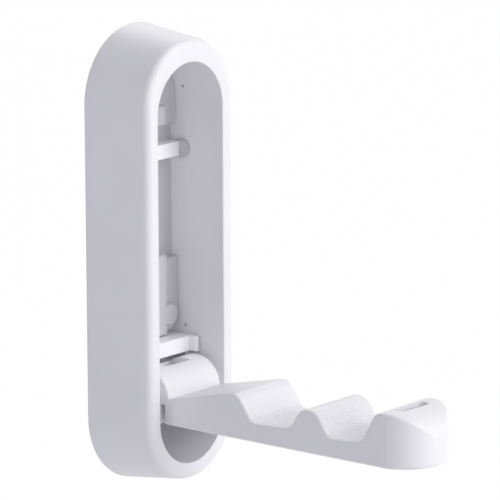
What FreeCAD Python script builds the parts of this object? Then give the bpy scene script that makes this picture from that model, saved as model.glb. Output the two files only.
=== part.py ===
"""Folding wall hook: a moulded shell on the wall whose notched hook arm folds up into the shell's recess.

Millimetres. The wall is the plane y = 0 and the hook stands out along -Y, with +Z up and +X to the right.
The origin is the middle of the back face. The arm is drawn open, level with the floor.
"""
import math
import os
from FreeCAD import Vector
import Part

# Shell
shell_height = 170.3
shell_width = 54.9
shell_depth = 27.7
side_draft = 3.55
rim_side = 5.7
rim_top = 8.5
rim_foot = 5.9
rim_round = 3.0
rim_inner_round = 0.5
back_round = 1.2
shell_wall = 2.4
face_wall = 2.6
liner_wall = 2.0
recess_draft = 0.3
dimple_radius = 0.6
dimple_depth = 1.0
dimple_rise = 3.8
dimple_below_top = 13.0
dimple_lift = 1.0
boss_radius = 2.5
boss_height = 11.0
boss_spread = 80.0

# Back plate
plate_thick = 3.2
plate_gap = 0.15
pad_gap = 0.25
upper_pad_length = 27.1
upper_pad_rise = 2.5
upper_step_rise = 4.8
upper_step_height = 7.8
step_width = 20.0
step_round = 1.5
rib_below_top = 36.4
rib_height = 5.4
rib_rise = 4.8
rib_end_radius = 3.6
rib_end_thick = 1.5
rib_end_rise = 5.2
rib_end_round = 1.0
lower_pad_length = 27.0
lower_pad_rise = 3.0
lower_pad_round = 6.0
lower_step_rise = 4.8
pad_shelf_gap = 1.9
stud_radius = 4.1
stud_rise = 1.8
stud_round = 0.8
stud_spread = 23.6
stud_lift = 6.0
wall_hole_radius = 2.25
wall_sink_radius = 4.5
upper_hole_below_top = 11.1
lower_hole_below_step = 11.9

# Hinge
hinge_lift = 25.95
pin_radius = 2.5
pin_play = 0.05
pin_end_gap = 0.3
cheek_thick = 2.5
cheek_gap = 0.5
cheek_reach = 8.3
cheek_lobe = 7.0
arm_play = 0.3
bush_wall = 1.5
bush_flange_radius = 5.5
bush_flange = 0.8
bush_face_play = 0.15
base_thick = 3.0
barrel_gap = 0.9
bracket_below_axis = 7.25
shelf_thick = 5.6
shelf_gap = 0.45
shelf_reach = 10.4
post_reach = 13.5
post_round = 1.0
stop_gap = 0.3
stop_inner = 7.0
stop_height = 5.8

# Leaf spring behind the barrel
leaf_width = 11.0
leaf_thick = 0.4
leaf_foot = 8.5
leaf_tail = 3.8
nose_half = 1.6
leaf_play = 0.3
window_margin = 0.9
spring_screw_radius = 0.9
spring_head_radius = 2.0
spring_head = 1.0
spring_screw_length = 2.6

# Arm
fold_gap = 0.95
fold_recess = 0.8
barrel_radius = 10.8
arm_wall = 2.4
side_round = 0.9
heel_round = 1.0
heel_height = 4.6
ramp_rise = 0.9
inner_hump_gap = 1.9
inner_hump_round = 4.5
inner_fall = 6.9
inner_notch = 17.4
inner_rise = 4.3
middle_hump_top = 7.5
middle_hump_drop = 3.9
middle_hump_flat = 0.37
outer_fall = 5.6
outer_notch = 14.3
outer_rise = 6.3
tip_top = 16.7
tip_hump_gap = 1.45
tip_hump_round = 4.5
nose_round = 11.8
nose_beyond = 0.3
tip_turn = 12.0
tip_blend = 4.0
notch_height = 7.0
notch_slope = 0.7
notch_root_round = 3.5
notch_tip_round = 3.5
rib_thick = 1.8
hollow_from = 14.0
cover_thick = 2.0
cover_rim = 1.4
cover_gap = 0.1
pocket_length = 13.8
pocket_back = 6.5
pocket_front = 3.0
pocket_depth = 3.0
slot_length = 16.0
slot_width = 4.0
slot_depth = 3.8
heel_notch_from = 6.5
heel_notch_to = 9.0
heel_notch_height = 7.5
heel_notch_depth = 5.0

# Screws and bumpers
screw_radius = 1.1
screw_head_radius = 2.2
screw_head = 1.3
screw_gap = 0.3
thread_gap = 0.05
shell_screw_length = 10.0
bracket_screw_length = 6.6
bracket_screw_spread = 24.0
bumper_radius = 3.0
bumper_thick = 1.1
bumper_spread = 14.0

# Places that follow from the sizes above
half_straight = (shell_height - shell_width) / 2
back_half = shell_width / 2
front_half = back_half - side_draft
opening_half = front_half - rim_side
recess_top = half_straight + front_half - rim_top
recess_foot = -half_straight - front_half + rim_foot
opening_middle = (recess_top + recess_foot) / 2
opening_straight = recess_top - opening_middle - opening_half
plate_front = -plate_thick
upper_pad_front = plate_front - upper_pad_rise
lower_step_front = plate_front - lower_step_rise
base_front = plate_front - base_thick
axis_z = recess_foot + hinge_lift
axis_y = base_front - barrel_gap - barrel_radius
fold_front = -shell_depth + fold_recess
axis_height = axis_y - fold_front
ramp_height = axis_height + ramp_rise
tip_hump_height = upper_pad_front - tip_hump_gap - fold_front
inner_hump_height = lower_step_front - inner_hump_gap - fold_front
middle_hump_height = tip_hump_height - middle_hump_drop
arm_half = opening_half - cheek_gap - cheek_thick - arm_play
arm_reach = recess_top - fold_gap - axis_z
tip_radius = arm_half / math.cos(math.radians(tip_turn))
tip_centre = arm_reach - tip_radius
underside_z = axis_z - axis_height
cheek_inner = arm_half + arm_play
cheek_outer = cheek_inner + cheek_thick
shelf_low = axis_z + barrel_radius + shelf_gap
shelf_high = shelf_low + shelf_thick
stop_face = axis_y + barrel_radius + stop_gap
tip_from = arm_reach - tip_top
ridge_at = arm_reach + nose_beyond - nose_round
outer_notch_to = tip_from - outer_rise
outer_notch_from = outer_notch_to - outer_notch
middle_hump_to = outer_notch_from - outer_fall
middle_hump_from = middle_hump_to - middle_hump_top
inner_notch_to = middle_hump_from - inner_rise
inner_notch_from = inner_notch_to - inner_notch
inner_hump_at = inner_notch_from - inner_fall
upper_pad_low = recess_top - upper_pad_length
rib_middle = recess_top - rib_below_top
lower_pad_low = shelf_high + pad_shelf_gap
lower_pad_high = lower_pad_low + lower_pad_length
lower_step_high = lower_pad_high + pad_shelf_gap
lower_step_low = shelf_high + pad_gap
leaf_top = axis_z + nose_half + window_margin + leaf_foot
wall_hole_places = [
    (recess_top - upper_hole_below_top, upper_pad_front),
    (lower_step_high - lower_hole_below_step, lower_step_front),
]
through = 1.0
small = 1e-3
half_turn = 180.0


def shell_half(y):
    """Half width of the shell's outside at a depth."""
    return back_half + side_draft * y / shell_depth


def recess_half(y):
    """Half width of the recess at a depth: a little narrower towards the wall."""
    return opening_half - recess_draft * (y + shell_depth) / shell_depth


def box(x_from, x_to, y_from, y_to, z_from, z_to):
    """Block between two corners, the lower value first."""
    size = Vector(x_to - x_from, y_to - y_from, z_to - z_from)
    return Part.makeBox(size.x, size.y, size.z, Vector(x_from, y_from, z_from))


def rod(radius, start, end):
    """Round bar from one point to another."""
    along = end.sub(start)
    return Part.makeCylinder(radius, along.Length, start, along)


def cone(start_radius, end_radius, start, end):
    """Tapered round bar from one point to another."""
    along = end.sub(start)
    return Part.makeCone(start_radius, end_radius, along.Length, start, along)


def stadium(straight, y_back, half_back, y_front, half_front, middle_z=0.0):
    """Upright block with round ends, its half width changing evenly from the back to the front."""
    corners = [(-half_back, y_back), (half_back, y_back), (half_front, y_front), (-half_front, y_front)]
    points = [Vector(x, y, -straight) for x, y in corners]
    middle = Part.Face(Part.makePolygon(points + points[:1])).extrude(Vector(0, 0, 2 * straight))
    block = middle
    for side in (-1, 1):
        corners = [(0, y_back), (half_back, y_back), (half_front, y_front), (0, y_front)]
        points = [Vector(x, y, side * straight) for x, y in corners]
        half_section = Part.Face(Part.makePolygon(points + points[:1]))
        block = block.fuse(half_section.revolve(points[0], Vector(0, -side, 0), half_turn))
    return block.removeSplitter().translated(Vector(0, 0, middle_z))


def edges_at_depth(shape, y):
    """Edges that lie in one plane parallel to the wall."""
    def in_plane(edge):
        room = edge.BoundBox
        return abs(room.YMin - y) < small and abs(room.YMax - y) < small
    return [edge for edge in shape.Edges if in_plane(edge)]


def edges_across(shape, x):
    """Edges that lie in one upright plane square to the wall."""
    def in_plane(edge):
        room = edge.BoundBox
        return abs(room.XMin - x) < small and abs(room.XMax - x) < small
    return [edge for edge in shape.Edges if in_plane(edge)]


def on_axis(x):
    """A point of the hinge axis."""
    return Vector(x, axis_y, axis_z)


def in_arm(forward, height, x=0.0):
    """A point of the open arm: forward of the hinge axis and above the arm's underside."""
    return Vector(x, axis_y - forward, underside_z + height)


def rounded_wire(corners, x):
    """Closed outline in the arm's side view, with an arc of its own radius at each corner."""
    count = len(corners)
    edges = []
    runs = []
    for index, (forward, height, radius) in enumerate(corners):
        corner = in_arm(forward, height, x)
        before = in_arm(corners[index - 1][0], corners[index - 1][1], x).sub(corner).normalize()
        after_corner = corners[(index + 1) % count]
        after = in_arm(after_corner[0], after_corner[1], x).sub(corner).normalize()
        half_angle = before.getAngle(after) / 2
        reach = radius / math.tan(half_angle)
        start = corner.add(before * reach)
        end = corner.add(after * reach)
        inward = before.add(after).normalize()
        middle = corner.add(inward * (radius / math.sin(half_angle) - radius))
        runs.append((start, middle, end, radius))
    for index, (start, middle, end, radius) in enumerate(runs):
        last_end = runs[index - 1][2]
        if last_end.distanceToPoint(start) > small:
            edges.append(Part.LineSegment(last_end, start).toShape())
        if radius > 0:
            edges.append(Part.Arc(start, middle, end).toShape())
    return Part.Wire(edges)


def shell_screw_places():
    """Middle of each shell screw, in the double wall beside the recess."""
    liner_outside = recess_half(plate_front) + liner_wall
    wall_inside = shell_half(plate_front) - shell_wall
    across = (liner_outside + wall_inside) / 2
    return [(side * across, end * boss_spread / 2) for side in (-1, 1) for end in (-1, 1)]


def bracket_screw_places():
    """Middle of each bracket screw: two in the shelf and two in the stop blocks."""
    upper = (shelf_low + shelf_high) / 2
    lower = axis_z - bracket_below_axis + stop_height / 2
    return [(side * bracket_screw_spread / 2, z) for side in (-1, 1) for z in (lower, upper)]


def back_screw(x, z, length, radius, head_radius):
    """Countersunk screw, or the hole for one, driven forward from the back face."""
    shank = rod(radius, Vector(x, 0, z), Vector(x, -length, z))
    head = cone(head_radius, radius, Vector(x, 0, z), Vector(x, -screw_head, z))
    return shank.fuse(head).removeSplitter()


def make_housing():
    """Double-walled shell: outer wall, front rim and recess wall, open at the back for the plate."""
    outer = stadium(half_straight, 0, back_half, -shell_depth, front_half)
    outer = outer.makeFillet(rim_round, edges_at_depth(outer, -shell_depth))
    outer = outer.makeFillet(back_round, edges_at_depth(outer, 0))
    inner_face = face_wall - shell_depth
    wall_inside = [shell_half(y) - shell_wall for y in (through, inner_face)]
    hollow = stadium(half_straight, through, wall_inside[0], inner_face, wall_inside[1])
    liner_outside = [recess_half(y) + liner_wall for y in (plate_front, inner_face)]
    liner = stadium(opening_straight, plate_front, liner_outside[0], inner_face, liner_outside[1],
                    opening_middle)
    shell = outer.cut(hollow.cut(liner))
    for x, z in shell_screw_places():
        foot = Vector(x, plate_front, z)
        boss = rod(boss_radius, foot, Vector(x, plate_front - boss_height, z)).common(outer)
        shell = shell.fuse(boss)
    ends = [through, -shell_depth - through]
    recess = stadium(opening_straight, ends[0], recess_half(ends[0]), ends[1], recess_half(ends[1]),
                     opening_middle)
    shell = shell.cut(recess).removeSplitter()
    shell = shell.makeFillet(rim_inner_round, opening_edges(shell))
    for x, z in shell_screw_places():
        bottom = Vector(x, -shell_screw_length - through, z)
        shell = shell.cut(rod(screw_radius + thread_gap, Vector(x, 0, z), bottom))
    dimple_y = upper_pad_front - dimple_rise
    for z in (recess_top - dimple_below_top, lower_pad_low + dimple_lift):
        beyond = max(0.0, abs(z - opening_middle) - opening_straight)
        wall = math.sqrt(recess_half(dimple_y) ** 2 - beyond ** 2)
        for side in (-1, 1):
            start = Vector(0, dimple_y, z)
            shell = shell.cut(rod(dimple_radius, start, Vector(side * (wall + dimple_depth), dimple_y, z)))
    return shell


def opening_edges(shape):
    """Edges of the recess at the front face."""
    def inside(edge):
        room = edge.BoundBox
        wide = max(room.XMax, -room.XMin)
        within = room.ZMax < recess_top + small and room.ZMin > recess_foot - small
        return wide < opening_half + small and within
    return [edge for edge in edges_at_depth(shape, -shell_depth) if inside(edge)]


def make_back_plate():
    """Plate that closes the shell's back, with the raised pads, the steps on them and the cross rib."""
    edge = [shell_half(y) - shell_wall - plate_gap for y in (0, plate_front)]
    plate = stadium(half_straight, 0, edge[0], plate_front, edge[1])
    flange_rise = rib_end_rise + rib_end_radius
    far_front = plate_front - max(upper_step_rise, lower_step_rise, rib_rise, flange_rise)
    within = [recess_half(y) - pad_gap for y in (plate_front, far_front)]
    room = stadium(opening_straight, plate_front, within[0], far_front, within[1], opening_middle)
    upper_pad = box(-opening_half, opening_half, upper_pad_front, plate_front, upper_pad_low, recess_top)
    upper_step = step_block(plate_front - upper_step_rise, upper_pad_low, upper_pad_low + upper_step_height)
    lower_front = plate_front - lower_pad_rise
    pad_half = recess_half(lower_front) - pad_gap
    lower_pad = box(-pad_half, pad_half, lower_front, plate_front, lower_pad_low, lower_pad_high)
    lower_pad = lower_pad.makeFillet(lower_pad_round, corner_edges(lower_pad, lower_pad_low))
    lower_step = step_block(lower_step_front, lower_step_low, lower_step_high)
    raised = [upper_pad, upper_step, lower_pad, lower_step, cross_rib()]
    for side in (-1, 1):
        foot = Vector(side * stud_spread / 2, plate_front, lower_pad_low + stud_lift)
        stud_front = lower_front - stud_rise
        stud = rod(stud_radius, foot, Vector(foot.x, stud_front, foot.z))
        raised.append(stud.makeFillet(stud_round, edges_at_depth(stud, stud_front)))
    for piece in raised:
        plate = plate.fuse(piece.common(room))
    plate = plate.removeSplitter()
    for z, front in wall_hole_places:
        plate = plate.cut(rod(wall_hole_radius, Vector(0, through, z), Vector(0, front - through, z)))
        sink = wall_sink_radius - wall_hole_radius
        sink_end = Vector(0, front + sink, z)
        plate = plate.cut(cone(wall_sink_radius, wall_hole_radius, Vector(0, front, z), sink_end))
    for x, z in shell_screw_places() + bracket_screw_places():
        hole = back_screw(x, z, plate_thick, screw_radius + screw_gap, screw_head_radius + screw_gap)
        plate = plate.cut(hole)
    return plate


def step_block(front, low, high):
    """Raised step in the middle of a pad, with soft edges round its front."""
    block = box(-step_width / 2, step_width / 2, front, plate_front, low, high)
    return block.makeFillet(step_round, edges_at_depth(block, front))


def corner_edges(block, z):
    """Edges of a block that run into the wall at one height."""
    def at_corner(edge):
        room = edge.BoundBox
        return room.YLength > small and abs(room.ZMax - z) < small and abs(room.ZMin - z) < small
    return [edge for edge in block.Edges if at_corner(edge) and edge.BoundBox.XLength < small]


def cross_rib():
    """Rib across the back of the recess, with a round flange at each end beside the recess wall."""
    half = rib_height / 2
    rib = box(-opening_half, opening_half, plate_front - rib_rise, plate_front,
              rib_middle - half, rib_middle + half)
    flange_y = plate_front - rib_end_rise
    for side in (-1, 1):
        inner = Vector(side * (opening_half - rib_end_thick), flange_y, rib_middle)
        flange = rod(rib_end_radius, inner, Vector(side * opening_half, flange_y, rib_middle))
        rib = rib.fuse(flange.makeFillet(rib_end_round, edges_across(flange, inner.x)))
    return rib.removeSplitter()


def make_hinge_bracket():
    """Bracket on the back plate: base, shelf above the barrel, cheeks for the pin and the arm's stop."""
    low = axis_z - bracket_below_axis
    bracket = box(-cheek_outer, cheek_outer, base_front, plate_front, low, shelf_high)
    shelf_front = plate_front - shelf_reach
    post_front = plate_front - post_reach
    bracket = bracket.fuse(box(-cheek_inner, cheek_inner, shelf_front, plate_front, shelf_low, shelf_high))
    for side in (-1, 1):
        x_from, x_to = sorted((side * cheek_inner, side * cheek_outer))
        post = box(x_from, x_to, post_front, plate_front, shelf_low, shelf_high)
        upright = [edge for edge in edges_at_depth(post, post_front) if edge.BoundBox.XLength < small]
        post = post.makeFillet(post_round, upright)
        neck = box(x_from, x_to, plate_front - cheek_reach, plate_front, axis_z, shelf_low)
        web = box(x_from, x_to, axis_y, plate_front, low, axis_z)
        lobe = rod(cheek_lobe, on_axis(x_from), on_axis(x_to))
        bracket = bracket.fuse(post).fuse(neck).fuse(web).fuse(lobe)
        x_from, x_to = sorted((side * stop_inner, side * cheek_inner))
        bracket = bracket.fuse(box(x_from, x_to, stop_face, plate_front, low, low + stop_height))
    bracket = bracket.removeSplitter()
    window = leaf_width / 2 + window_margin
    bracket = bracket.cut(box(-window, window, base_front - through, plate_front + through,
                              axis_z - leaf_tail - window_margin, axis_z + nose_half + window_margin))
    bush_outside = pin_radius + pin_play + bush_wall
    for side in (-1, 1):
        inner = on_axis(side * (cheek_inner - through))
        bracket = bracket.cut(rod(bush_outside, inner, on_axis(side * (cheek_outer + through))))
        seat = on_axis(side * (cheek_inner + bush_flange - bush_face_play))
        bracket = bracket.cut(rod(bush_flange_radius + pin_play, inner, seat))
    for x, z in bracket_screw_places():
        depth = bracket_screw_length - plate_thick
        hole = rod(screw_radius + thread_gap, Vector(x, plate_front, z), Vector(x, plate_front - depth, z))
        bracket = bracket.cut(hole)
    pilot = spring_screw_radius + thread_gap
    seat = spring_screw_seat()
    return bracket.cut(rod(pilot, seat, seat.add(Vector(0, base_thick, 0))))


def make_bush(side):
    """Flanged bush in one cheek; its flange keeps the arm off the cheek."""
    bore = pin_radius + pin_play
    face = cheek_inner - bush_face_play
    flange_back = face + bush_flange
    bush = rod(bore + bush_wall, on_axis(side * face), on_axis(side * cheek_outer))
    bush = bush.fuse(rod(bush_flange_radius, on_axis(side * face), on_axis(side * flange_back)))
    bush = bush.removeSplitter()
    return bush.cut(rod(bore, on_axis(0), on_axis(side * (cheek_outer + through))))


def make_hinge_pin():
    """Steel pin through the arm's barrel, turning in the two bushes."""
    end = cheek_outer - pin_end_gap
    return rod(pin_radius, on_axis(-end), on_axis(end))


def spring_screw_seat():
    """Middle of the spring screw on the bracket's base."""
    return Vector(0, base_front, leaf_top - leaf_foot / 2)


def make_detent_spring():
    """Leaf spring on the bracket's base, with a pressed nose level with the hinge axis."""
    tail_end = axis_z - leaf_tail
    rise = base_front - (axis_y + barrel_radius + leaf_play)
    x = -leaf_width / 2
    outside = [
        Vector(x, base_front - leaf_thick, leaf_top),
        Vector(x, base_front - leaf_thick, axis_z + nose_half),
        Vector(x, base_front - rise, axis_z),
        Vector(x, base_front - leaf_thick, axis_z - nose_half),
        Vector(x, base_front - leaf_thick, tail_end),
    ]
    inside = [point.add(Vector(0, leaf_thick, 0)) for point in outside]
    edges = [
        Part.LineSegment(outside[0], outside[1]).toShape(),
        Part.Arc(outside[1], outside[2], outside[3]).toShape(),
        Part.LineSegment(outside[3], outside[4]).toShape(),
        Part.LineSegment(outside[4], inside[4]).toShape(),
        Part.LineSegment(inside[4], inside[3]).toShape(),
        Part.Arc(inside[3], inside[2], inside[1]).toShape(),
        Part.LineSegment(inside[1], inside[0]).toShape(),
        Part.LineSegment(inside[0], outside[0]).toShape(),
    ]
    leaf = Part.Face(Part.Wire(edges)).extrude(Vector(leaf_width, 0, 0))
    seat = spring_screw_seat()
    along = Vector(0, through, 0)
    return leaf.cut(rod(spring_screw_radius + thread_gap, seat.add(along), seat.sub(along)))


def make_spring_screw():
    """Small pan-head screw through the leaf spring's foot."""
    seat = spring_screw_seat()
    under_head = seat.sub(Vector(0, leaf_thick, 0))
    shank = rod(spring_screw_radius, under_head, seat.add(Vector(0, spring_screw_length, 0)))
    head = rod(spring_head_radius, under_head, under_head.sub(Vector(0, spring_head, 0)))
    head = head.makeFillet(spring_head / 2, edges_at_depth(head, under_head.y - spring_head))
    return shank.fuse(head).removeSplitter()


def drawn_in(corners, inset):
    """Corners of a closed outline moved inwards, with each arc kept round the same middle."""
    lines = []
    for index, (forward, height, _) in enumerate(corners):
        after = corners[(index + 1) % len(corners)]
        along = Vector(after[0] - forward, after[1] - height, 0).normalize()
        inward = Vector(-along.y, along.x, 0)
        lines.append((Vector(forward, height, 0).add(inward * inset), along))
    moved = []
    for index, (_, _, radius) in enumerate(corners):
        before_point, before_along = lines[index - 1]
        point, along = lines[index]
        turn = before_along.cross(along).z
        reach = point.sub(before_point).cross(along).z / turn
        corner = before_point.add(before_along * reach)
        change = -inset if turn > 0 else inset
        moved.append((corner.x, corner.y, max(0.0, radius + change) if radius > 0 else 0.0))
    return moved


def arm_outline(x, inset=0.0):
    """Side view of the arm's beam, or of its hollow: heel, underside, nose, humps, notches and ramp."""
    notch_far = notch_height + notch_slope
    ramp_fall = (inner_hump_height - ramp_height) / (inner_hump_at - barrel_radius)
    inner_lean = math.atan2(middle_hump_height - notch_far, inner_rise)
    outer_lean = math.atan2(middle_hump_height - notch_height, outer_fall)
    spread = math.tan(inner_lean / 2) + math.tan(outer_lean / 2)
    middle_hump_round = (middle_hump_top - middle_hump_flat) / spread
    corners = [
        (-barrel_radius, -inset, heel_round),
        (arm_reach + nose_beyond, -inset, 0),
        (arm_reach + nose_beyond, tip_hump_height, nose_round),
        (tip_from, tip_hump_height, tip_hump_round),
        (outer_notch_to, notch_far, notch_tip_round),
        (outer_notch_from, notch_height, notch_root_round),
        (middle_hump_to, middle_hump_height, middle_hump_round),
        (middle_hump_from, middle_hump_height, middle_hump_round),
        (inner_notch_to, notch_far, notch_tip_round),
        (inner_notch_from, notch_height, notch_root_round),
        (inner_hump_at, inner_hump_height, inner_hump_round),
        (barrel_radius / 2, ramp_height - ramp_fall * barrel_radius / 2, 0),
        (-barrel_radius, heel_height, heel_round),
    ]
    return Part.Face(rounded_wire(drawn_in(corners, inset), x))


def arm_plan(inset, low, high, root):
    """Block with the arm's plan, drawn in from its edge: straight sides, turned a little into a round tip."""
    half = arm_half - inset
    radius = tip_radius - inset
    shoulder = tip_centre + math.sqrt(radius ** 2 - half ** 2)
    block = Part.makeBox(2 * half, shoulder - root, high - low, in_arm(shoulder, low, -half))
    tip = rod(radius, in_arm(tip_centre, low), in_arm(tip_centre, high))
    beyond = Part.makeBox(2 * half, radius, high - low, in_arm(shoulder + radius, low, -half))
    block = block.fuse(tip.common(beyond)).removeSplitter()
    corners = [edge for edge in block.Edges if at_shoulder(edge, half, shoulder)]
    return block.makeFillet(tip_blend, corners)


def at_shoulder(edge, half, shoulder):
    """Whether an edge is an upright one where the arm's side turns into its round tip."""
    upright = edge.BoundBox.XLength + edge.BoundBox.YLength < small
    middle = edge.BoundBox.Center
    beside = abs(abs(middle.x) - half) < small
    return upright and beside and abs(axis_y - middle.y - shoulder) < small


def make_arm():
    """Hook arm: solid barrel round the pin, and a hollow, ribbed beam open below for its cover."""
    tall = tip_hump_height + through
    beam = arm_outline(-arm_half).extrude(Vector(2 * arm_half, 0, 0))
    plan = arm_plan(0, -through, tall, -barrel_radius - through)
    beam = beam.common(plan)
    beam = beam.makeFillet(side_round, side_edges(beam, plan))
    barrel = rod(barrel_radius, on_axis(-arm_half), on_axis(arm_half))
    barrel = barrel.makeFillet(side_round, side_edges(barrel, plan))
    arm = beam.fuse(barrel).removeSplitter()
    hollow = arm_outline(-arm_half, arm_wall).extrude(Vector(2 * arm_half, 0, 0))
    hollow = hollow.common(arm_plan(arm_wall, 0, tall, hollow_from))
    for middle in ((inner_notch_from + inner_notch_to) / 2, (outer_notch_from + outer_notch_to) / 2):
        rib = Part.makeBox(2 * arm_half, rib_thick, tall, in_arm(middle + rib_thick / 2, 0, -arm_half))
        hollow = hollow.cut(rib)
    arm = arm.cut(hollow.cut(tip_slot(arm_wall)))
    arm = arm.cut(arm_plan(cover_rim, -through, cover_thick, hollow_from - arm_wall + cover_rim))
    axis_end = arm_half + through
    arm = arm.cut(rod(pin_radius, on_axis(-axis_end), on_axis(axis_end)))
    pocket_floor = axis_height + barrel_radius - pocket_depth
    pocket = Part.makeBox(pocket_length, pocket_front + pocket_back, pocket_depth + through,
                          in_arm(pocket_front, pocket_floor, -pocket_length / 2))
    arm = arm.cut(pocket)
    for side in (-1, 1):
        middle = arm_half - heel_notch_depth / 2
        notch = Part.makeBox(heel_notch_depth, heel_notch_to - heel_notch_from, heel_notch_height + through,
                             in_arm(heel_notch_to, -through, side * middle - heel_notch_depth / 2))
        arm = arm.cut(notch)
    return arm.cut(tip_slot())


def side_edges(piece, plan):
    """Outer edges of the arm's two sides and round tip, on its beam or on its barrel."""
    floor = plan.BoundBox.ZMin
    border = Part.makeCompound([edge for edge in plan.Edges if edge.BoundBox.ZMax < floor + small])
    chosen = []
    for edge in piece.Edges:
        middle = edge.valueAt((edge.FirstParameter + edge.LastParameter) / 2)
        foot = Part.Vertex(middle.x, middle.y, floor)
        upright = edge.BoundBox.XLength + edge.BoundBox.YLength < small
        if foot.distToShape(border)[0] < small and not upright:
            chosen.append(edge)
    return chosen


def tip_slot(margin=0.0):
    """Slot with round ends across the ridge of the tip, or the block of wall left round it."""
    reach = (slot_length - slot_width) / 2
    half = slot_width / 2 + margin
    low = tip_hump_height - slot_depth - margin
    high = tip_hump_height + through
    slot = Part.makeBox(2 * reach, 2 * half, high - low, in_arm(ridge_at + half, low, -reach))
    for side in (-1, 1):
        floor = in_arm(ridge_at, low, side * reach)
        slot = slot.fuse(rod(half, floor, in_arm(ridge_at, high, side * reach)))
    return slot.removeSplitter()


def make_arm_cover():
    """Plate let into the arm's underside, flush with it."""
    root = hollow_from - arm_wall + cover_rim + cover_gap
    return arm_plan(cover_rim + cover_gap, 0, cover_thick, root)


def make_rest_bumpers():
    """Two soft dots on the upper pad, behind the folded arm's tip."""
    z = axis_z + ridge_at
    dots = []
    for side in (-1, 1):
        foot = Vector(side * bumper_spread / 2, upper_pad_front, z)
        dots.append(rod(bumper_radius, foot, foot.sub(Vector(0, bumper_thick, 0))))
    return Part.makeCompound(dots)


def make_shell_screws():
    """Screws through the back plate into the shell's bosses."""
    return Part.makeCompound([back_screw(x, z, shell_screw_length, screw_radius, screw_head_radius)
                              for x, z in shell_screw_places()])


def make_bracket_screws():
    """Screws through the back plate into the hinge bracket."""
    return Part.makeCompound([back_screw(x, z, bracket_screw_length, screw_radius, screw_head_radius)
                              for x, z in bracket_screw_places()])


os.makedirs("parts", exist_ok=True)
pieces = {
    "housing": make_housing(),
    "back_plate": make_back_plate(),
    "hinge_bracket": make_hinge_bracket(),
    "left_bush": make_bush(-1),
    "right_bush": make_bush(1),
    "hinge_pin": make_hinge_pin(),
    "detent_spring": make_detent_spring(),
    "spring_screw": make_spring_screw(),
    "arm": make_arm(),
    "arm_cover": make_arm_cover(),
    "rest_bumpers": make_rest_bumpers(),
    "shell_screws": make_shell_screws(),
    "bracket_screws": make_bracket_screws(),
}
for name, shape in pieces.items():
    shape.exportStep("parts/" + name + ".step")
    print(name, "valid", shape.isValid(), "solids", len(shape.Solids), "volume", round(shape.Volume, 1))
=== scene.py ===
"""Looks of the folding wall hook: white moulded ABS shell and hook arm, steel hinge pin and screws.

Metres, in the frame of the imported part: the wall is the plane y = 0, the arm stands out along -Y, +Z is up.
"""

import math

import bmesh
import bpy
from mathutils import Matrix, Vector


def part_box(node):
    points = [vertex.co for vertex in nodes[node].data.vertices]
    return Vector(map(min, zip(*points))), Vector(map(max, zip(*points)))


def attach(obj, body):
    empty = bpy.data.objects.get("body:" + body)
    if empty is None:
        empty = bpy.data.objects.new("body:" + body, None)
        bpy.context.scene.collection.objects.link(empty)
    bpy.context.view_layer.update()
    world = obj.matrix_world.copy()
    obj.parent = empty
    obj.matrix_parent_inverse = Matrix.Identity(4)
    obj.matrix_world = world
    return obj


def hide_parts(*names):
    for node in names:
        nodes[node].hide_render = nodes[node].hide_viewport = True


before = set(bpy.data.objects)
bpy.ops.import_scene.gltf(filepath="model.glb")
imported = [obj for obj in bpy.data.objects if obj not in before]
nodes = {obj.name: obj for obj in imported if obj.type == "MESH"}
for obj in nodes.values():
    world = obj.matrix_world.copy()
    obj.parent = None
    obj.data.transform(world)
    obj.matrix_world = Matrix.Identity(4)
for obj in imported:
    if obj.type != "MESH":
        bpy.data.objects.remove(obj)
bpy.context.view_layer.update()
MM = 0.001

# Sockets that go by number: colours in a Mix node, floats in a Random Value node
MIX_SHARE, MIX_FIRST, MIX_SECOND, MIX_RESULT = 0, 6, 7, 2
RANDOM_LEAST, RANDOM_MOST, RANDOM_FLOAT = 2, 3, 1

# The back plate: just before its front face, where a painted shade darkens its white deep in the recess, and
# the rib between its flanges, which gets a painted highlight
PLATE_FRONT = -3.3 * MM
PAINTED_SHADE_FROM, PAINTED_SHADE_TO = -7.5 * MM, -4.0 * MM
RIB_MIDDLE, RIB_REACH, RIB_HALF = 36.7 * MM, 4.2 * MM, 16.6 * MM

# Screws in the back face
SCREW_HEAD, SCREW_SHANK, SCREW_POINT = 2.2 * MM, 1.1 * MM, 1.0 * MM
HEAD_DEEP, CROSS_DEEP, CROSS_ARM, CROSS_HALF = 1.3 * MM, 0.9 * MM, 1.25 * MM, 0.32 * MM
CROSS_TAPER = 0.8
SCREW_SIDES = 24

# Notches: reach before the hinge axis, heights above the arm's underside, width of the rounded side edge, and
# the least upward part of the normal of a face that gets stipple
NOTCH_SPANS = {"inner": (44.0 * MM, 71.5 * MM), "outer": (79.0 * MM, 105.0 * MM)}
NOTCH_LOW, NOTCH_HIGH = 6.8 * MM, 14.5 * MM
NOTCH_EDGE = 0.85 * MM
UPWARD = 0.2

# Pips of the grip stipple in the notches
PIP_SPACING, PIP_RADIUS, PIP_HEIGHT, PIP_SUNK = 0.8 * MM, 0.42 * MM, 0.15 * MM, 0.055 * MM
PIP_TOP, PIP_LEAST, PIP_MOST = 0.4, 0.7, 1.2
PIP_SIDES = 9
PIP_SEED = 4
PIPS_PER_M2 = 4e6

# Camera of the photograph, in radians, metres and pixels
CAMERA_YAW, CAMERA_PITCH, CAMERA_ROLL = -0.888, 0.2138, -0.0043
CAMERA_PLACE = (-1.2324086, -1.0573290, 0.3524752)
CAMERA_NEAR, CAMERA_FAR = 0.05, 50
SENSOR_WIDTH = 36.0
FOCAL_PIXELS, PHOTO_PIXELS = 4521.5, 500

# Studio: softboxes round the hook, a white surround and a floor
SOFTBOX_SIZE, SOFTBOX_AWAY, SOFTBOX_AIM = 0.9, 1.6, (0, -0.04, 0)
SURROUND_LIGHT, SURROUND_SEEN = 0.275, 1.0
FLOOR_REACH, FLOOR_LOW, FLOOR_WHITE = 6.0, -0.45, 0.993

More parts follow.
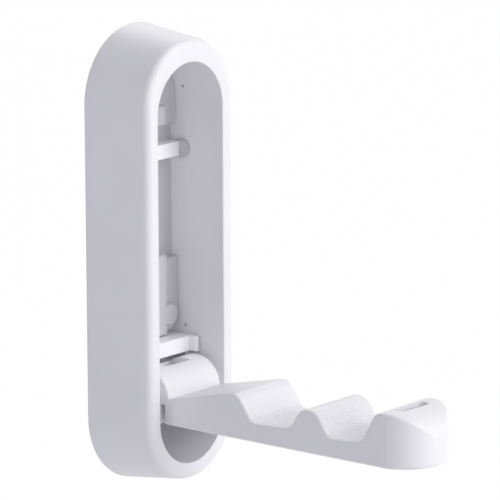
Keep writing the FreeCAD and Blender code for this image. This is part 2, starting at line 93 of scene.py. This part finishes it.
# Softboxes: name, degrees to the right of the front, degrees above the level, watts, colour
SOFTBOXES = [
    ("key_softbox_high", 25, 40, 8.5, "#ffffff"),
    ("key_softbox_low", 25, 10, 8.2, "#ffffff"),
    ("left_back_high", -110, 40, 1.7, "#e4e4ff"),
    ("left_back_low", -110, 5, 2.1, "#e4e4ff"),
    ("front_left", -32, 12, 4.4, "#ffffff"),
    ("right_back", 130, 40, 4.7, "#ffffff"),
]


def linear(hex_colour):
    """sRGB hex colour as linear RGBA."""
    values = [int(hex_colour[i:i + 2], 16) / 255 for i in (1, 3, 5)]
    return [v / 12.92 if v <= 0.04045 else ((v + 0.055) / 1.055) ** 2.4 for v in values] + [1.0]


def add(tree, kind, settings=None, links=None):
    """Adds a node: settings are attributes or input values, links are (input, node, output)."""
    node = tree.nodes.new(kind)
    for name, value in (settings or {}).items():
        if isinstance(name, str) and hasattr(node, name):
            setattr(node, name, value)
        else:
            node.inputs[name].default_value = value
    for target, source, output in links or ():
        tree.links.new(source.outputs[output], node.inputs[target])
    return node


def new_material(name):
    """Empty node material with its output; the shader is linked by the caller."""
    material = bpy.data.materials.new(name)
    material.use_nodes = True
    tree = material.node_tree
    tree.nodes.clear()
    return material, tree, add(tree, "ShaderNodeOutputMaterial")


def noise(tree, place, size, detail, roughness=0.5, output="Object"):
    """Noise with clouds of about one size, over the piece."""
    return add(tree, "ShaderNodeTexNoise", {"Scale": 1 / size, "Detail": detail, "Roughness": roughness},
               [("Vector", place, output)])


def two_tone(tree, shade, pale, source, output):
    """Colour between two hex colours, by a value from 0 to 1."""
    return add(tree, "ShaderNodeMix",
               {"data_type": "RGBA", MIX_FIRST: linear(shade), MIX_SECOND: linear(pale)},
               [(MIX_SHARE, source, output)])


def tinted(tree, colour, tint, source, output):
    """Colour of a Mix node turned to a hex colour, by a value from 0 to 1."""
    return add(tree, "ShaderNodeMix", {"data_type": "RGBA", MIX_SECOND: linear(tint)},
               [(MIX_SHARE, source, output), (MIX_FIRST, colour, MIX_RESULT)])


def on_rib(tree, split):
    """1 on the back plate's cross rib, where its painted highlight goes, and 0 elsewhere."""
    level = add(tree, "ShaderNodeMath", {"operation": "COMPARE", 1: RIB_MIDDLE, 2: RIB_REACH},
                [(0, split, "Z")])
    across = add(tree, "ShaderNodeMath", {"operation": "COMPARE", 1: 0.0, 2: RIB_HALF}, [(0, split, "X")])
    proud = add(tree, "ShaderNodeMath", {"operation": "LESS_THAN", 1: PLATE_FRONT}, [(0, split, "Y")])
    band = add(tree, "ShaderNodeMath", {"operation": "MULTIPLY"}, [(0, level, 0), (1, across, 0)])
    return add(tree, "ShaderNodeMath", {"operation": "MULTIPLY"}, [(0, band, 0), (1, proud, 0)])


def moulded_abs(name, pale, shade, grain_mm, grain_height_mm, roughness, painted_shade_and_highlight=None):
    """White ABS moulded in a spark-eroded tool: satin, faintly cool, with a fine even grain and flow clouds.

    The optional plate colours are a painted shade for the back plate's white deep in the recess and a painted
    highlight for its rib.
    """
    cloud_size, cloud_detail, grain_detail, grain_roughness = 25 * MM, 3.0, 2.0, 0.6
    low, high = 0.3, 0.7
    smoother, rougher = 0.05, 0.06
    material, tree, output = new_material(name)
    place = add(tree, "ShaderNodeTexCoord")
    # Flow clouds shift the white by a hair
    clouds = noise(tree, place, cloud_size, cloud_detail)
    # Satin grain; the real one is about 0.1 mm, drawn coarser so that it shows
    grain = noise(tree, place, grain_mm * MM, grain_detail, grain_roughness)
    tone = add(tree, "ShaderNodeMapRange", {"From Min": low, "From Max": high}, [("Value", clouds, "Fac")])
    colour = two_tone(tree, shade, pale, tone, "Result")
    if painted_shade_and_highlight:
        painted_recess_shade, painted_rib_highlight = painted_shade_and_highlight
        split = add(tree, "ShaderNodeSeparateXYZ", {}, [(0, place, "Object")])
        # Painted shade: the back plate's white turns darker deep in the recess, where shade falls
        deep = add(tree, "ShaderNodeMapRange", {"From Min": PAINTED_SHADE_FROM, "From Max": PAINTED_SHADE_TO},
                   [("Value", split, "Y")])
        colour = tinted(tree, colour, painted_recess_shade, deep, "Result")
        # Painted highlight: the rib is whitened where the light falls on it
        colour = tinted(tree, colour, painted_rib_highlight, on_rib(tree, split), 0)
    gloss = add(tree, "ShaderNodeMapRange",
                {"From Min": low, "From Max": high,
                 "To Min": roughness - smoother, "To Max": roughness + rougher},
                [("Value", grain, "Fac")])
    bump = add(tree, "ShaderNodeBump", {"Strength": 1.0, "Distance": grain_height_mm * MM},
               [("Height", grain, "Fac")])
    shader = add(tree, "ShaderNodeBsdfPrincipled", {"IOR": 1.53},
                 [("Base Color", colour, MIX_RESULT), ("Roughness", gloss, "Result"),
                  ("Normal", bump, "Normal")])
    tree.links.new(shader.outputs["BSDF"], output.inputs["Surface"])
    return material


def soft_plastic(name, shade, pale, cloud_mm, roughness, look):
    """Plain soft plastic with faint clouds, which lets a little light in under its surface."""
    material, tree, output = new_material(name)
    place = add(tree, "ShaderNodeTexCoord")
    clouds = noise(tree, place, cloud_mm * MM, 2.0)
    colour = two_tone(tree, shade, pale, clouds, "Fac")
    smooth, rough = roughness
    gloss = add(tree, "ShaderNodeMapRange", {"To Min": smooth, "To Max": rough}, [("Value", clouds, "Fac")])
    shader = add(tree, "ShaderNodeBsdfPrincipled", look | {"Subsurface Scale": 1 * MM},
                 [("Base Color", colour, MIX_RESULT), ("Roughness", gloss, "Result")])
    tree.links.new(shader.outputs["BSDF"], output.inputs["Surface"])
    return material


def plated_steel(name, pale, shade, stretch, line_mm, roughness):
    """Steel with fine drawn or ground lines: bright, streaked along one way, each streak a little rougher."""
    line_detail, line_roughness = 3.0, 0.65
    smoother, rougher = 0.08, 0.1
    line_depth, line_strength = 0.01 * MM, 0.6
    material, tree, output = new_material(name)
    place = add(tree, "ShaderNodeTexCoord")
    drawn = add(tree, "ShaderNodeMapping", {"Scale": stretch}, [("Vector", place, "Object")])
    lines = noise(tree, drawn, line_mm * MM, line_detail, line_roughness, "Vector")
    colour = two_tone(tree, shade, pale, lines, "Fac")
    gloss = add(tree, "ShaderNodeMapRange", {"To Min": roughness - smoother, "To Max": roughness + rougher},
                [("Value", lines, "Fac")])
    bump = add(tree, "ShaderNodeBump", {"Strength": line_strength, "Distance": line_depth},
               [("Height", lines, "Fac")])
    shader = add(tree, "ShaderNodeBsdfPrincipled", {"Metallic": 1.0},
                 [("Base Color", colour, MIX_RESULT), ("Roughness", gloss, "Result"),
                  ("Normal", bump, "Normal")])
    tree.links.new(shader.outputs["BSDF"], output.inputs["Surface"])
    return material


shell_abs = moulded_abs("abs_white_satin_shell", "#f0eff4", "#edecf1", 0.45, 0.012, 0.42)
# The back plate's whole white is greyer than the shell's as painted shade of the recess
plate_painted_shade_abs = moulded_abs("abs_white_satin_plate_painted_shade_and_highlight", "#c9c8ce", "#c6c5cb", 0.5, 0.02, 0.46, ("#c8c7cd", "#fdfcff"))
# The bracket's white is whiter than the shell's as painted light on its posts
bracket_painted_light_abs = moulded_abs("abs_white_satin_bracket_painted_light", "#fbfafe", "#f8f7fc", 0.5, 0.02, 0.46)
arm_abs = moulded_abs("abs_white_satin_arm", "#f0eff4", "#edecf1", 0.5, 0.016, 0.44)
acetal = soft_plastic("acetal_natural_moulded", "#d8d3c4", "#e6e2d6", 4, (0.28, 0.4),
                      {"IOR": 1.48, "Subsurface Weight": 0.1})
pin_steel = plated_steel("steel_ground_pin", "#c9cacc", "#a9abad", (0.08, 1, 1), 0.3, 0.28)
spring_steel = plated_steel("steel_spring_rolled", "#bfc1c3", "#9a9c9f", (1, 1, 0.06), 0.3, 0.34)
zinc = plated_steel("steel_zinc_plated", "#c6c8ca", "#a3a6aa", (1, 1, 1), 0.4, 0.36)
silicone = soft_plastic("silicone_grey_dots", "#bdbdc2", "#d0d0d5", 2, (0.5, 0.62),
                        {"IOR": 1.41, "Subsurface Weight": 0.3})

finishes = {
    "housing": shell_abs, "back_plate": plate_painted_shade_abs, "hinge_bracket": bracket_painted_light_abs,
    "arm": arm_abs, "arm_cover": arm_abs, "left_bush": acetal, "right_bush": acetal,
    "hinge_pin": pin_steel, "detent_spring": spring_steel, "spring_screw": zinc,
    "shell_screws": zinc, "bracket_screws": zinc, "rest_bumpers": silicone,
}
for name, finish in finishes.items():
    nodes[name].data.materials.clear()
    nodes[name].data.materials.append(finish)


def new_group(name, inputs):
    """Geometry Nodes group with named inputs; gives the group, its input node and its output node."""
    tree = bpy.data.node_groups.new(name, "GeometryNodeTree")
    for label, kind in inputs:
        tree.interface.new_socket(label, in_out="INPUT", socket_type=kind)
    tree.interface.new_socket("Geometry", in_out="OUTPUT", socket_type="NodeSocketGeometry")
    return tree, add(tree, "NodeGroupInput"), add(tree, "NodeGroupOutput")


def modelled(name, tree, values):
    """Plain mesh piece that a Geometry Nodes group makes from the values of its named inputs."""
    piece = bpy.data.objects.new(name, bpy.data.meshes.new(name))
    bpy.context.scene.collection.objects.link(piece)
    modifier = piece.modifiers.new("nodes", "NODES")
    modifier.node_group = tree
    for item in tree.interface.items_tree:
        if item.in_out == "INPUT":
            modifier[item.identifier] = values[item.name]
    piece.update_tag()
    made = bpy.data.meshes.new_from_object(piece.evaluated_get(bpy.context.evaluated_depsgraph_get()))
    piece.modifiers.remove(modifier)
    piece.data = made
    made.name = name
    return piece


def mesh_object(name, points, faces=()):
    """Helper object with a mesh, kept out of the scene."""
    mesh = bpy.data.meshes.new(name)
    mesh.from_pydata(points, [], list(faces))
    return bpy.data.objects.new(name, mesh)


def screw_shape(name, length):
    """Countersunk screw with a cross recess: head flush with the back face, point towards the front."""
    shape = bmesh.new()

    def ring(radius, y):
        turns = [2 * math.pi * i / SCREW_SIDES for i in range(SCREW_SIDES)]
        return [shape.verts.new((radius * math.cos(t), y, radius * math.sin(t))) for t in turns]

    def wall(first, second):
        for i in range(len(first)):
            k = (i + 1) % len(first)
            shape.faces.new((first[i], first[k], second[k], second[i]))

    quarter = [(CROSS_HALF, CROSS_ARM), (CROSS_HALF, CROSS_HALF), (CROSS_ARM, CROSS_HALF)]
    cross = []
    for _ in range(4):
        cross += quarter
        quarter = [(z, -x) for x, z in quarter]
    rim = ring(SCREW_HEAD, 0)
    mouth = [shape.verts.new((x, 0, z)) for x, z in cross]
    floor = [shape.verts.new((x * CROSS_TAPER, -CROSS_DEEP, z * CROSS_TAPER)) for x, z in cross]
    edges = [shape.edges.new((loop[i - 1], loop[i])) for loop in (rim, mouth) for i in range(len(loop))]
    bmesh.ops.triangle_fill(shape, edges=edges, use_beauty=True)
    wall(mouth, floor)
    shape.faces.new(floor)
    neck = ring(SCREW_SHANK, -HEAD_DEEP)
    end = ring(SCREW_SHANK, SCREW_POINT - length)
    tip = ring(SCREW_SHANK / 4, -length)
    wall(rim, neck)
    wall(neck, end)
    wall(end, tip)
    shape.faces.new(tip)
    bmesh.ops.recalc_face_normals(shape, faces=shape.faces)
    mesh = bpy.data.meshes.new(name)
    shape.to_mesh(mesh)
    shape.free()
    return bpy.data.objects.new(name, mesh)


def screw_group():
    """Group that stands one screw at each point of a mesh."""
    tree, given, result = new_group("screws_at_places", [
        ("Screw", "NodeSocketObject"), ("Places", "NodeSocketObject"), ("Steel", "NodeSocketMaterial")])
    screw = add(tree, "GeometryNodeObjectInfo", {}, [("Object", given, "Screw")])
    places = add(tree, "GeometryNodeObjectInfo", {}, [("Object", given, "Places")])
    stood = add(tree, "GeometryNodeInstanceOnPoints", {},
                [("Points", places, "Geometry"), ("Instance", screw, "Geometry")])
    solid = add(tree, "GeometryNodeRealizeInstances", {}, [("Geometry", stood, "Instances")])
    painted = add(tree, "GeometryNodeSetMaterial", {}, [("Geometry", solid, 0), ("Material", given, "Steel")])
    tree.links.new(painted.outputs[0], result.inputs[0])
    return tree


def back_screws():
    """The screws in the back face, with cross recesses, in place of the plain ones."""
    tree = screw_group()
    for node in ("shell_screws", "bracket_screws"):
        low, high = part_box(node)
        across = (low[0] + SCREW_HEAD, high[0] - SCREW_HEAD)
        levels = (low[2] + SCREW_HEAD, high[2] - SCREW_HEAD)
        places = [(x, 0, z) for x in across for z in levels]
        helpers = [screw_shape("screw_shape", -low[1]), mesh_object("screw_places", places)]
        piece = modelled(node + "_cross", tree, {"Screw": helpers[0], "Places": helpers[1], "Steel": zinc})
        for helper in helpers:
            bpy.data.objects.remove(helper)
        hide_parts(node)
        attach(piece, "shell")


def stipple_group():
    """Group that scatters low, flat-topped pips over a patch, each sunk a little into it."""
    tree, given, result = new_group("stipple_on_patch", [
        ("Patch", "NodeSocketObject"), ("Spacing", "NodeSocketFloat"), ("Radius", "NodeSocketFloat"),
        ("Seed", "NodeSocketInt"), ("Plastic", "NodeSocketMaterial")])
    patch = add(tree, "GeometryNodeObjectInfo", {}, [("Object", given, "Patch")])
    spots = add(tree, "GeometryNodeDistributePointsOnFaces",
                {"distribute_method": "POISSON", "Density Max": PIPS_PER_M2},
                [("Mesh", patch, "Geometry"), ("Distance Min", given, "Spacing"), ("Seed", given, "Seed")])
    top = add(tree, "ShaderNodeMath", {"operation": "MULTIPLY", 1: PIP_TOP}, [(0, given, "Radius")])
    pip = add(tree, "GeometryNodeMeshCone", {"Vertices": PIP_SIDES, "Side Segments": 1, "Depth": PIP_HEIGHT},
              [("Radius Top", top, 0), ("Radius Bottom", given, "Radius")])
    sunk = add(tree, "GeometryNodeTransform", {"Translation": (0, 0, -PIP_SUNK)}, [("Geometry", pip, "Mesh")])
    size = add(tree, "FunctionNodeRandomValue",
               {"data_type": "FLOAT", RANDOM_LEAST: PIP_LEAST, RANDOM_MOST: PIP_MOST},
               [("Seed", given, "Seed")])
    wide = add(tree, "ShaderNodeCombineXYZ", {"Z": 1.0},
               [("X", size, RANDOM_FLOAT), ("Y", size, RANDOM_FLOAT)])
    stood = add(tree, "GeometryNodeInstanceOnPoints", {},
                [("Points", spots, "Points"), ("Instance", sunk, 0), ("Rotation", spots, "Rotation"),
                 ("Scale", wide, "Vector")])
    solid = add(tree, "GeometryNodeRealizeInstances", {}, [("Geometry", stood, "Instances")])
    smooth = add(tree, "GeometryNodeSetShadeSmooth", {}, [("Geometry", solid, 0)])
    painted = add(tree, "GeometryNodeSetMaterial", {},
                  [("Geometry", smooth, 0), ("Material", given, "Plastic")])
    tree.links.new(painted.outputs[0], result.inputs[0])
    return tree


def notch_patch(start, end):
    """Helper object with the arm's faces that line one notch, between two distances from the hinge axis."""
    arm = nodes["arm"]
    points = [arm.matrix_world @ vertex.co for vertex in arm.data.vertices]
    flat_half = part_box("arm")[1][0] - NOTCH_EDGE
    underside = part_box("arm_cover")[0][2]
    pin_low, pin_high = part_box("hinge_pin")
    axis_y = (pin_low[1] + pin_high[1]) / 2

    def lines_notch(face):
        corners = [points[index] for index in face.vertices]
        inside = all(abs(c.x) < flat_half and start < axis_y - c.y < end for c in corners)
        return inside and all(NOTCH_LOW < c.z - underside < NOTCH_HIGH for c in corners)

    lining = [face for face in arm.data.polygons if face.normal.z > UPWARD and lines_notch(face)]
    return mesh_object("notch_patch", points, [list(face.vertices) for face in lining])


def notch_stipple():
    """Grip stipple moulded into the two notches, where a hanger's hook sits."""
    tree = stipple_group()
    for name, (start, end) in NOTCH_SPANS.items():
        helper = notch_patch(start, end)
        piece = modelled(name + "_notch_stipple", tree, {
            "Patch": helper, "Spacing": PIP_SPACING, "Radius": PIP_RADIUS, "Seed": PIP_SEED,
            "Plastic": arm_abs})
        bpy.data.objects.remove(helper)
        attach(piece, "hook")


back_screws()
notch_stipple()


def studio_camera():
    """Camera of the photograph: a long lens from the upper left, rolled by a quarter of a degree."""
    level = math.cos(CAMERA_PITCH)
    forward = Vector((-math.sin(CAMERA_YAW) * level, math.cos(CAMERA_YAW) * level, -math.sin(CAMERA_PITCH)))
    right = Vector((math.cos(CAMERA_YAW), math.sin(CAMERA_YAW), 0))
    up = right.cross(forward)
    tilt, lean = math.cos(CAMERA_ROLL), math.sin(CAMERA_ROLL)
    right, up = (tilt * right + lean * up, tilt * up - lean * right)
    data = bpy.data.cameras.new("studio_camera")
    camera = bpy.data.objects.new("studio_camera", data)
    bpy.context.scene.collection.objects.link(camera)
    turn = Matrix((right, up, -forward)).transposed().to_4x4()
    camera.matrix_world = Matrix.Translation(CAMERA_PLACE) @ turn
    data.sensor_width = SENSOR_WIDTH
    data.lens = SENSOR_WIDTH * FOCAL_PIXELS / PHOTO_PIXELS
    data.clip_start = CAMERA_NEAR
    data.clip_end = CAMERA_FAR
    bpy.context.scene.camera = camera


def softbox(name, turn, rise, watts, colour):
    """Square softbox facing the hook: degrees to the right of the front and above the level."""
    data = bpy.data.lights.new(name, "AREA")
    data.shape = "SQUARE"
    data.size = SOFTBOX_SIZE
    data.energy = watts
    data.color = linear(colour)[:3]
    turn, rise = math.radians(turn), math.radians(rise)
    lamp = bpy.data.objects.new(name, data)
    bpy.context.scene.collection.objects.link(lamp)
    direction = Vector((math.sin(turn) * math.cos(rise), -math.cos(turn) * math.cos(rise), math.sin(rise)))
    lamp.location = Vector(SOFTBOX_AIM) + direction * SOFTBOX_AWAY
    lamp.rotation_mode = "QUATERNION"
    lamp.rotation_quaternion = direction.to_track_quat("Z", "Y")


def white_seen(tree):
    """1 for the rays that see the background: from the camera, in a reflection or through a clear piece."""
    path = add(tree, "ShaderNodeLightPath")
    first = add(tree, "ShaderNodeMath", {"operation": "MAXIMUM"},
                [(0, path, "Is Camera Ray"), (1, path, "Is Glossy Ray")])
    return add(tree, "ShaderNodeMath", {"operation": "MAXIMUM"},
               [(0, first, 0), (1, path, "Is Transmission Ray")])


def studio_surround():
    """White surround that lights softly."""
    world = bpy.data.worlds.new("white_surround")
    bpy.context.scene.world = world
    world.use_nodes = True
    tree = world.node_tree
    tree.nodes.clear()
    seen = white_seen(tree)
    strength = add(tree, "ShaderNodeMapRange", {"To Min": SURROUND_LIGHT, "To Max": SURROUND_SEEN},
                   [("Value", seen, 0)])
    shine = add(tree, "ShaderNodeBackground", {"Color": (1, 1, 1, 1)}, [("Strength", strength, "Result")])
    add(tree, "ShaderNodeOutputWorld", {}, [("Surface", shine, "Background")])


def studio_floor():
    """Pale floor well below the hook, clear from below."""
    mesh = bpy.data.meshes.new("studio_floor")
    ends = (-FLOOR_REACH, FLOOR_REACH)
    corners = [(ends[0], ends[0]), (ends[1], ends[0]), (ends[1], ends[1]), (ends[0], ends[1])]
    mesh.from_pydata([(x, y, FLOOR_LOW) for x, y in corners], [], [(0, 1, 2, 3)])
    floor = bpy.data.objects.new("studio_floor", mesh)
    bpy.context.scene.collection.objects.link(floor)
    material, tree, output = new_material("paper_white_floor")
    seen = white_seen(tree)
    share = add(tree, "ShaderNodeMath", {"operation": "MULTIPLY", 1: FLOOR_WHITE}, [(0, seen, 0)])
    paper = add(tree, "ShaderNodeBsdfDiffuse", {"Color": linear("#f4f4f5")})
    lit = add(tree, "ShaderNodeEmission", {"Color": (1, 1, 1, 1), "Strength": 1.0})
    mixed = add(tree, "ShaderNodeMixShader", {}, [(0, share, 0), (1, paper, 0), (2, lit, 0)])
    side = add(tree, "ShaderNodeNewGeometry")
    clear = add(tree, "ShaderNodeBsdfTransparent")
    shown = add(tree, "ShaderNodeMixShader", {}, [(0, side, "Backfacing"), (1, mixed, 0), (2, clear, 0)])
    tree.links.new(shown.outputs[0], output.inputs["Surface"])
    mesh.materials.append(material)


studio_camera()
studio_surround()
studio_floor()
for settings in SOFTBOXES:
    softbox(*settings)
bpy.context.scene.view_settings.view_transform = "Standard"
